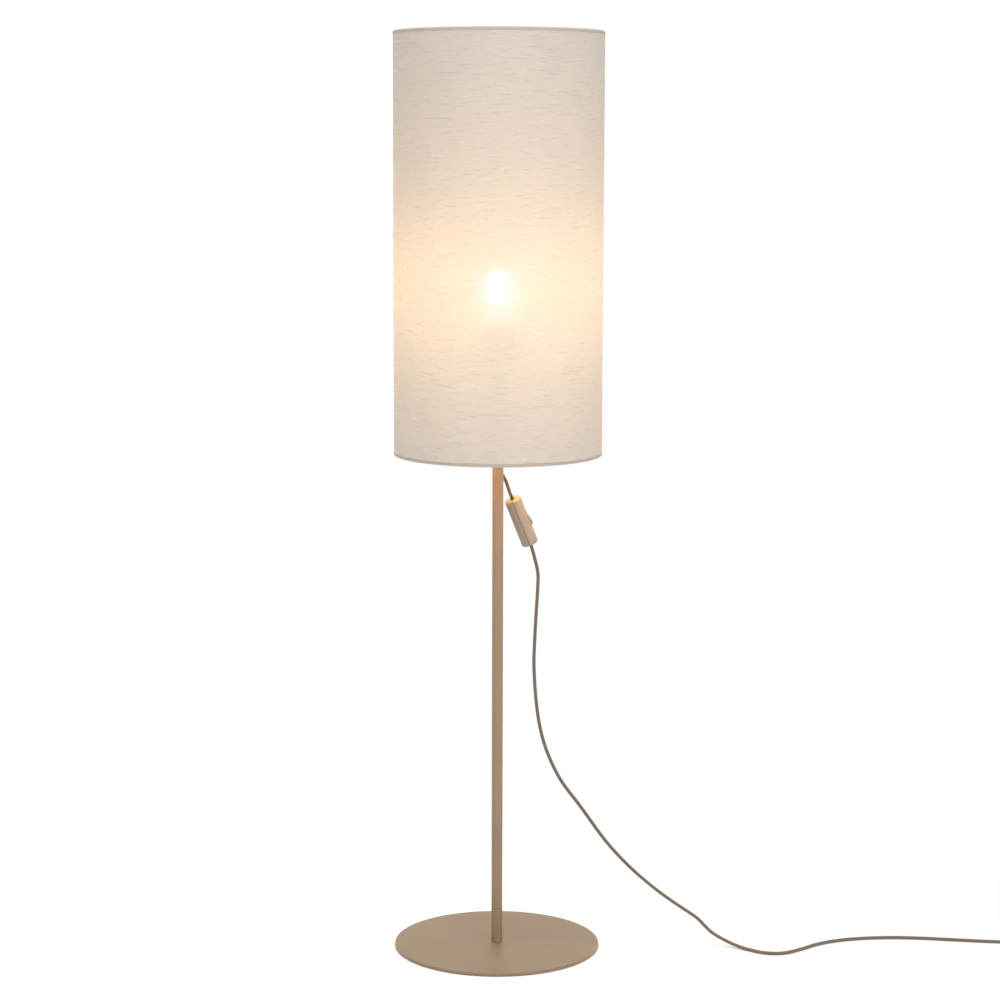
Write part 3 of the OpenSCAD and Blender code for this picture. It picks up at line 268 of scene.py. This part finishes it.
def ramp(tree, value, stops):
    node = tree.nodes.new("ShaderNodeValToRGB")
    while len(node.color_ramp.elements) < len(stops):
        node.color_ramp.elements.new(0.5)
    for element, (position, colour) in zip(node.color_ramp.elements, stops):
        element.position = position
        element.color = (*colour, 1)
    tree.links.new(value, node.inputs["Fac"])
    return node.outputs["Color"]


def shade_of(colour, factor):
    return tuple(channel * factor for channel in colour)


def tint(tree, shader, pattern, colour, dark, light, low=0.3, high=0.7):
    """The base colour passes from the dark to the light share of the colour as the pattern rises."""
    stops = [(low, shade_of(colour, dark)), (high, shade_of(colour, light))]
    tree.links.new(ramp(tree, pattern, stops), shader.inputs["Base Color"])


def bump(tree, height, shader, distance):
    node = tree.nodes.new("ShaderNodeBump")
    node.inputs["Distance"].default_value = distance
    node.inputs["Strength"].default_value = 1
    tree.links.new(height, node.inputs["Height"])
    tree.links.new(node.outputs["Normal"], shader.inputs["Normal"])


def place_on_shade(tree):
    """Metres round the shade, and up it, as a vector."""
    parts = tree.nodes.new("ShaderNodeSeparateXYZ")
    tree.links.new(object_place(tree), parts.inputs[0])
    angle = arithmetic(tree, "ARCTAN2", parts.outputs["Y"], parts.outputs["X"])
    both = tree.nodes.new("ShaderNodeCombineXYZ")
    return feed(tree, both, arithmetic(tree, "MULTIPLY", angle, SHADE_R), parts.outputs["Z"]).outputs[0]


# ---- Materials ----------------------------------------------------------------

def floor_paint():
    """White paint near the lamp, which passes into the plain white of the backdrop further out."""
    material, tree, shader = new_material("studio_floor", roughness=0.9)
    shader.inputs["Base Color"].default_value = (*WHITE, 1)
    shader.inputs["Specular IOR Level"].default_value = 0.1
    far_out = rise(tree, vector_math(tree, "LENGTH", object_place(tree)), *FLOOR_FADE)
    plain = feed(tree, tree.nodes.new("ShaderNodeEmission"), (*WHITE, 1), 1)
    shown = arithmetic(tree, "MULTIPLY", far_out, backdrop_rays(tree))
    show(tree, mix_shaders(tree, shown, shader.outputs[0], plain.outputs[0]))
    return material


def powder_coat(name, colour):
    material, tree, shader = new_material(name, roughness=0.45)
    place = object_place(tree)
    tint(tree, shader, noise(tree, place, scale=9, detail=3), colour, dark=0.93, light=1.06)
    grain = noise(tree, place, scale=1400, roughness=0.6)
    bump(tree, grain, shader, 0.12 * MM)
    return material


def moulded_plastic(name, colour, roughness=0.42):
    material, tree, shader = new_material(name, roughness)
    place = object_place(tree)
    tint(tree, shader, noise(tree, place, scale=60), colour, dark=0.96, light=1.04)
    bump(tree, noise(tree, place, scale=2600, detail=1), shader, 0.06 * MM)
    return material


def switch_plastic(name, colour):
    """Moulded plastic, darker in the groove along the joint of the switch's shells: painted shade."""
    groove_painted_shade = (0.48, 0.42, 0.36)
    groove_edge = 0.3 * MM
    material = moulded_plastic(name, colour)
    tree = material.node_tree
    base = tree.nodes["Principled BSDF"].inputs["Base Color"]
    from_middle = vector_math(tree, "SUBTRACT", object_place(tree), SWITCH_AT)
    from_joint = arithmetic(tree, "ABSOLUTE", vector_math(tree, "DOT_PRODUCT", from_middle, SWITCH_OUT))
    out_of_groove = rise(tree, from_joint, GROOVE / 2, GROOVE / 2 + groove_edge, "LINEAR")
    # Painted shade: the colour darkens from the groove's edges to its middle
    shade = ramp(tree, out_of_groove, [(0, groove_painted_shade), (1, WHITE)])
    tree.links.new(vector_math(tree, "MULTIPLY", base.links[0].from_socket, shade), base)
    return material


def turned_metal(name, colour, roughness=0.28):
    material, tree, shader = new_material(name, roughness, metallic=1)
    streaks = streaky_noise(tree, object_place(tree), (40, 40, 3200), detail=2)
    tint(tree, shader, streaks, colour, dark=0.9, light=1.05)
    bump(tree, streaks, shader, 0.04 * MM)
    return material


def felt(name, colour):
    material, tree, shader = new_material(name, roughness=0.95)
    fibres = noise(tree, object_place(tree), scale=900, detail=4, roughness=0.7)
    tint(tree, shader, fibres, colour, dark=0.6, light=1.5)
    bump(tree, fibres, shader, 0.8 * MM)
    return material


def ceramic(name, colour):
    material, tree, shader = new_material(name, roughness=0.15)
    cloud = noise(tree, object_place(tree), scale=200, detail=3)
    tint(tree, shader, cloud, colour, dark=0.95, light=1)
    bump(tree, cloud, shader, 0.05 * MM)
    return material


def lit_surface(name, colour, strength, solid_share=1.0):
    """A dark surface that gives its own light, with a faint mottle; the rest of it is clear."""
    unlit_share = 0.08
    mottle_share = 0.94
    material, tree, shader = new_material(name, roughness=0.35)
    cloud = noise(tree, object_place(tree), scale=120)
    glow = ramp(tree, cloud, [(0.2, shade_of(colour, mottle_share)), (0.8, colour)])
    shader.inputs["Base Color"].default_value = (*shade_of(colour, unlit_share), 1)
    tree.links.new(glow, shader.inputs["Emission Color"])
    shader.inputs["Emission Strength"].default_value = strength
    if solid_share < 1:
        clear = tree.nodes.new("ShaderNodeBsdfTransparent")
        show(tree, mix_shaders(tree, solid_share, clear.outputs[0], shader.outputs[0]))
    return material


def clear_glass(name):
    material, tree, shader = new_material(name, roughness=0.05)
    shader.inputs["Transmission Weight"].default_value = 1
    bump(tree, noise(tree, object_place(tree), scale=80, detail=1), shader, 0.1 * MM)
    return material


def woven_pattern(tree):
    """The linen's fine threads both ways, and the thick places of its yarn, which lie round the shade."""
    weft_share, warp_share = 0.6, 0.4
    along_thread, across_thread = 60, 1500
    slub_scales = (58, 370, 1)
    slub_start, slub_full = 0.57, 0.76
    place = place_on_shade(tree)
    wefts = streaky_noise(tree, place, (along_thread, across_thread, 1), detail=1)
    warps = streaky_noise(tree, place, (across_thread, along_thread, 1), detail=1)
    part_of_warps = arithmetic(tree, "MULTIPLY", warps, warp_share)
    threads = arithmetic(tree, "MULTIPLY_ADD", wefts, weft_share, part_of_warps)
    thickness = streaky_noise(tree, place, slub_scales, detail=0)
    return threads, rise(tree, thickness, slub_start, slub_full)


def linen(name, colour, lets_light_through=False):
    """Slubbed linen; the shade's own linen also glows with the light behind it."""
    slub_height = 0.75
    slub_density = 0.5
    glow_share = 0.077
    seen_through_share = 0.03
    thin_glow = (0.575, 0.61, 0.585)
    dense_glow = (0.355, 0.43, 0.42)
    # Lighter up the relief: painted highlight on the raised yarn
    cloth_highlight_shares = [(0.36, 0.98), (0.62, 1.01), (1, 1.07)]    # relief, share of the colour
    material, tree, shader = new_material(name, roughness=0.85)
    threads, slubs = woven_pattern(tree)
    relief = arithmetic(tree, "MULTIPLY_ADD", slubs, slub_height, threads)
    cloth_stops = [(height, shade_of(colour, share)) for height, share in cloth_highlight_shares]
    tree.links.new(ramp(tree, relief, cloth_stops), shader.inputs["Base Color"])
    shader.inputs["Sheen Weight"].default_value = 0.15
    shader.inputs["Specular IOR Level"].default_value = 0.2
    bump(tree, relief, shader, 1 * MM)
    if not lets_light_through:
        return material
    density = arithmetic(tree, "MULTIPLY_ADD", slubs, slub_density, threads)
    glow = ramp(tree, density, [(0.36, thin_glow), (1, dense_glow)])
    behind = feed(tree, tree.nodes.new("ShaderNodeBsdfTranslucent"), glow)
    blurred = tree.nodes.new("ShaderNodeBsdfRefraction")
    blurred.inputs["Roughness"].default_value = 0.37
    blurred.inputs["IOR"].default_value = 1.3
    cloth = mix_shaders(tree, glow_share, shader.outputs[0], behind.outputs[0])
    show(tree, mix_shaders(tree, seen_through_share, cloth, blurred.outputs[0]))
    return material


def liner_film(name):
    """A clear film with a milky side, which lets most light through."""
    material, tree, shader = new_material(name, roughness=0.4)
    milky_share = 0.25
    cloud = noise(tree, object_place(tree), scale=40)
    milk = ramp(tree, cloud, [(0.3, (0.86, 0.83, 0.78)), (0.7, (0.93, 0.91, 0.87))])
    tree.links.new(milk, shader.inputs["Base Color"])
    clear = tree.nodes.new("ShaderNodeBsdfTransparent")
    show(tree, mix_shaders(tree, milky_share, clear.outputs[0], shader.outputs[0]))
    return material


def braid(name, colour):
    """Two families of yarns that cross on the slant round a lead; the map holds turns and metres."""
    yarns_each_way = 8
    lay = 2.4 * MM
    fuzz_share = 0.3
    material, tree, shader = new_material(name, roughness=0.78)
    lead_map = tree.nodes.new("ShaderNodeUVMap")
    lead_map.uv_map = "lead"
    parts = tree.nodes.new("ShaderNodeSeparateXYZ")
    tree.links.new(lead_map.outputs[0], parts.inputs[0])
    round_way = arithmetic(tree, "MULTIPLY", parts.outputs["X"], yarns_each_way * 2 * math.pi)
    along = arithmetic(tree, "MULTIPLY", parts.outputs["Y"], 2 * math.pi / lay)
    right, left = [
        arithmetic(tree, "SINE", arithmetic(tree, operation, round_way, along))
        for operation in ("ADD", "SUBTRACT")]
    yarns = arithmetic(tree, "MULTIPLY_ADD", arithmetic(tree, "MAXIMUM", right, left), 0.5, 0.5)
    fuzz = noise(tree, object_place(tree), scale=1100, detail=3, roughness=0.6)
    height = arithmetic(tree, "ADD", yarns, arithmetic(tree, "MULTIPLY", fuzz, fuzz_share))
    tint(tree, shader, height, colour, dark=0.62, light=1.25, low=0.15, high=0.9)
    shader.inputs["Sheen Weight"].default_value = 0.2
    bump(tree, height, shader, 0.3 * MM)
    return material


def plain_braid(name, colour):
    """The same textile on the short ends of the lead, which have no map."""
    material, tree, shader = new_material(name, roughness=0.78)
    fuzz = noise(tree, object_place(tree), scale=900, detail=3, roughness=0.6)
    tint(tree, shader, fuzz, colour, dark=0.7, light=1.2)
    bump(tree, fuzz, shader, 0.3 * MM)
    return material


def strap(name, colour):
    material, tree, shader = new_material(name, roughness=0.85)
    ribs = streaky_noise(tree, object_place(tree), (300, 1800, 1800), detail=1)
    tint(tree, shader, ribs, colour, dark=0.6, light=1.6, low=0.35, high=0.65)
    bump(tree, ribs, shader, 0.3 * MM)
    return material


# ---- Leads --------------------------------------------------------------------

def spline_point(a, b, c, d, t):
    """The place at the share t of the way from b to c, on the smooth curve through all four points."""
    return (2 * b + (c - a) * t + (2 * a - 5 * b + 4 * c - d) * t * t + (3 * b - a - 3 * c + d) * t ** 3) / 2


def spline(points, steps):
    """The smooth curve through all the points, with the given steps between two of them."""
    padded = [2 * points[0] - points[1], *points, 2 * points[-1] - points[-2]]
    curve = [
        spline_point(*padded[i:i + 4], step / steps)
        for i in range(len(points) - 1)
        for step in range(steps)]
    return curve + [points[-1]]


def tube(name, path, radius, sides=16):
    """A round tube along the path, with turns round it and metres along it as its map."""
    points, faces, corners = [], [], []
    angles = [2 * math.pi * k / sides for k in range(sides)]
    tangents = [
        (path[min(i + 1, len(path) - 1)] - path[max(i - 1, 0)]).normalized()
        for i in range(len(path))]
    side = tangents[0].orthogonal().normalized()
    travelled = [0.0]
    for i, (centre, tangent) in enumerate(zip(path, tangents)):
        side = (side - tangent * side.dot(tangent)).normalized()
        other = tangent.cross(side)
        points += [centre + radius * (math.cos(a) * side + math.sin(a) * other) for a in angles]
        if i:
            travelled.append(travelled[-1] + (path[i] - path[i - 1]).length)
    for i in range(len(path) - 1):
        for k in range(sides):
            after = (k + 1) % sides
            faces.append((i * sides + k, i * sides + after, (i + 1) * sides + after, (i + 1) * sides + k))
            corners += [
                (k / sides, travelled[i]), ((k + 1) / sides, travelled[i]),
                ((k + 1) / sides, travelled[i + 1]), (k / sides, travelled[i + 1])]
    for first in (0, (len(path) - 1) * sides):
        ring = tuple(range(first, first + sides))
        faces.append(ring[::-1] if first == 0 else ring)
        corners += [(k / sides, travelled[0 if first == 0 else -1]) for k in range(sides)]
    mesh = bpy.data.meshes.new(name)
    mesh.from_pydata(points, [], faces)
    lead_map = mesh.uv_layers.new(name="lead")
    for loop, place in zip(lead_map.data, corners):
        loop.uv = place
    mesh.polygons.foreach_set("use_smooth", [len(face) == 4 for face in faces])
    piece = bpy.data.objects.new(name, mesh)
    bpy.context.collection.objects.link(piece)
    return piece


def coil_point(turn):
    """The coil spirals in on the floor, climbs a layer and spirals out again."""
    climb_turns = 0.5
    half = COIL_TURNS / 2
    r = COIL_R - COIL_PITCH * (turn if turn < half else COIL_TURNS - turn)
    climb = min(max((turn - half) / climb_turns + 0.5, 0), 1)
    a = 2 * math.pi * turn - math.pi / 2
    return COIL_AT + Vector((r * math.cos(a), r * math.sin(a), COIL_Z + COIL_PITCH * climb))


def upper_path():
    """From the tube's outlet to the switch, straight out of both for a diameter."""
    steps = 18
    start_out = EXIT_AT + EXIT_DIR * CORD_D
    end_in = SWITCH_TOP + SWITCH_UP * CORD_D
    swing = 2 * LEAD_SWING * (end_in - start_out).length
    ends = [end_in - EXIT_DIR * swing, start_out, end_in, start_out - SWITCH_UP * swing]
    return [EXIT_AT, *[spline_point(*ends, k / steps) for k in range(steps + 1)], SWITCH_TOP]


def lower_path():
    """From the switch down to the floor, along it to the coil, round the coil and out to the plug."""
    run_steps, coil_steps, tail_steps = 8, 48, 12
    rest = CORD_D / 2
    coil = [coil_point(k / coil_steps) for k in range(int(coil_steps * COIL_TURNS) + 1)]
    coil_start = coil[0] - Vector((CORD_D, 0, 0))
    middle = [
        SWITCH_FOOT - SWITCH_UP * CORD_D,
        *[Vector(p) * MM for p in HANG_POINTS],
        *[Vector((x, y, 0)) * MM + Vector((0, 0, rest)) for x, y in FLOOR_POINTS],
        coil_start - Vector((CORD_D, 0, 0))]
    run = [Vector((p.x, p.y, max(p.z, rest))) for p in spline(middle, run_steps)]
    out = coil[-1]
    tail = []
    for k in range(1, tail_steps + 1):
        t = k / tail_steps
        ease = t * t * (3 - 2 * t)
        tail.append(out + Vector((0, COIL_TAIL * t, (PLUG_AXIS_Z - out.z) * ease)))
    return [SWITCH_FOOT, *run, coil_start, *coil, *tail, tail[-1] + Vector((0, CORD_D, 0))]


def add_leads(material):
    switch_nodes = [
        "switch_cover", "switch_back", "switch_rocker", "rocker_plunger", "contact_bridge",
        "switch_terminals", "cord_clamps", "clamp_screws", "switch_leads", "switch_wires", "switch_screws"]
    far_nodes = ["coil_tie", "plug_boot", "plug_body", "plug_pins"]
    leads = [
        ("upper_lead", upper_path(), EXIT_AT, "object", "hanging", ["cord_upper"], switch_nodes),
        ("lower_lead", lower_path(), SWITCH_FOOT, "plug", "loose", ["cord_run", "cord_coil"], far_nodes)]
    for name, path, start, far_end, lay, solids, pieces in leads:
        lead = tube(name, path, CORD_D / 2)
        lead.data.materials.append(material)
        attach(lead, "lamp")
        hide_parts(*solids)


# ---- Shade --------------------------------------------------------------------

def add_shade(material):
    """The linen between its hems, as one sheet round the shade, with a slight waviness."""
    ripple = 0.1 * MM
    waves = [(7, 5), (11, -9)]    # how many lie round the shade, and how they lean up it
    around, up = 240, 96
    low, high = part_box("shade_fabric")
    mean_r = high[0] - LINEN_T / 2
    points, faces = [], []
    for j in range(up + 1):
        z = low[2] + (high[2] - low[2]) * j / up
        pinned = math.sin(math.pi * j / up)
        for i in range(around):
            a = 2 * math.pi * i / around
            r = mean_r + ripple * pinned * sum(math.sin(count * a + slant * z) for count, slant in waves)
            points.append((r * math.cos(a), r * math.sin(a), z))
    for row in range(0, up * around, around):
        for i in range(around):
            after = (i + 1) % around
            faces.append((row + i, row + after, row + around + after, row + around + i))
    mesh = bpy.data.meshes.new("linen_sheet")
    mesh.from_pydata(points, [], faces)
    mesh.polygons.foreach_set("use_smooth", [True] * len(faces))
    mesh.materials.append(material)
    sheet = bpy.data.objects.new("linen_sheet", mesh)
    bpy.context.collection.objects.link(sheet)
    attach(sheet, "lamp")
    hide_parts("shade_fabric")


# ---- Dressing the solids ------------------------------------------------------

def dress(material, *nodes):
    for name in nodes:
        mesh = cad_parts[name].data
        mesh.materials.clear()
        mesh.materials.append(material)


def dress_shade():
    dress(linen("seam_linen", (0.58, 0.51, 0.46)), "shade_seam")
    # The hems' linen is darker than the shade's: painted shade of the wire rings rolled inside the hems
    dress(linen("hem_linen_shaded", (0.49, 0.42, 0.365)), "bottom_hem", "top_hem")
    dress(liner_film("film"), "shade_liner")
    frame_pieces = ["fitter_ring", "fitter_arms", "bottom_wire_ring", "top_wire_ring"]
    dress(powder_coat("frame_coat", (0.70, 0.67, 0.61)), *frame_pieces)


def dress_stand():
    # The plate and the tube bear one paint; its two colours here are copies of it, darker on the flat plate
    # and lighter on the upright tube: painted shade and light for how light falls on each
    dress(powder_coat("sand_coat", (0.262, 0.178, 0.102)), "base_plate")
    dress(powder_coat("tube_coat", (0.304, 0.200, 0.121)), "pole")
    dress(felt("pad_felt", (0.09, 0.08, 0.07)), "base_pad")


def dress_bulb():
    dress(lit_surface("glowing_glass", (0.85, 0.76, 1.0), 20, solid_share=0.12), "bulb_glass")
    dress(lit_surface("glowing_filament", (0.9, 0.48, 1.0), 190), "bulb_filaments")
    dress(clear_glass("stem_glass"), "bulb_stem")


def dress_leads():
    dress(plain_braid("lead_ends", (0.13, 0.1, 0.074)), "inner_lead", "switch_leads")
    dress(strap("tie_strap", (0.04, 0.035, 0.03)), "coil_tie")
    dress(moulded_plastic("soft_rubber", (0.055, 0.046, 0.040), roughness=0.7), "plug_boot", "plug_body")
    dress(moulded_plastic("wire_blue", (0.10, 0.20, 0.36)), "holder_wires", "switch_wires")


def dress_fittings():
    zinc_pieces = [
        "base_screw", "foot_insert", "top_insert", "holder_screws",
        "cord_clamps", "clamp_screws", "switch_screws"]
    brass_pieces = [
        "nipple", "screw_shell", "centre_contact", "holder_terminals",
        "bulb_tip", "contact_bridge", "switch_terminals"]
    dark_pieces = ["exit_bush", "holder_cap", "holder_sleeve", "clamp_ring", "bulb_insulator"]
    dress(turned_metal("zinc", (0.56, 0.57, 0.58)), *zinc_pieces)
    dress(turned_metal("brass", (0.78, 0.60, 0.28)), *brass_pieces)
    dress(turned_metal("nickel", (0.74, 0.75, 0.76), roughness=0.2), "bulb_cap", "plug_pins")
    dress(moulded_plastic("dark_plastic", (0.035, 0.032, 0.030)), *dark_pieces)
    dress(ceramic("glazed_core", (0.82, 0.80, 0.75)), "holder_core")
    # The cover and the back are one plastic; their two colours are lit and shaded copies of it: painted
    # light on the cover, painted shade on the back
    dress(switch_plastic("switch_front_lit", (0.362, 0.298, 0.228)), "switch_cover", "switch_rocker")
    dress(switch_plastic("switch_rear_shaded", (0.306, 0.245, 0.183)), "switch_back")
    dress(moulded_plastic("pale_plastic", (0.85, 0.82, 0.76)), "rocker_plunger")


def light_tube_past_holder():
    """The wide glass of a real bulb lights the tube past the holder, which a small light would shade."""
    shadowless = [
        "bulb_glass", "bulb_stem", "bulb_filaments", "fitter_ring",
        "clamp_ring", "holder_sleeve", "holder_cap"]
    for name in shadowless:
        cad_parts[name].visible_shadow = False


add_camera()
add_leads(braid("textile_braid", (0.138, 0.107, 0.082)))

set_world()
add_floor()
add_area_light("key", (-0.9, -3.2, 2.9), (0, 0, 0.8), size=2.4, power=47, colour=(1.0, 0.99, 0.97))
add_area_light("fill", (2.2, -2.6, 1.9), (0, 0, 0.7), size=2.0, power=30, colour=(1.0, 0.99, 0.98))
add_area_light("top", (0, 0.4, 3.6), (0, 0, 0), size=3.0, power=50, colour=WHITE)
add_bulb_light()
light_tube_past_holder()

add_shade(linen("lit_linen", (0.624, 0.557, 0.507), lets_light_through=True))
dress_shade()
dress_stand()
dress_bulb()
dress_leads()
dress_fittings()

bpy.context.scene.view_settings.view_transform = "Standard"
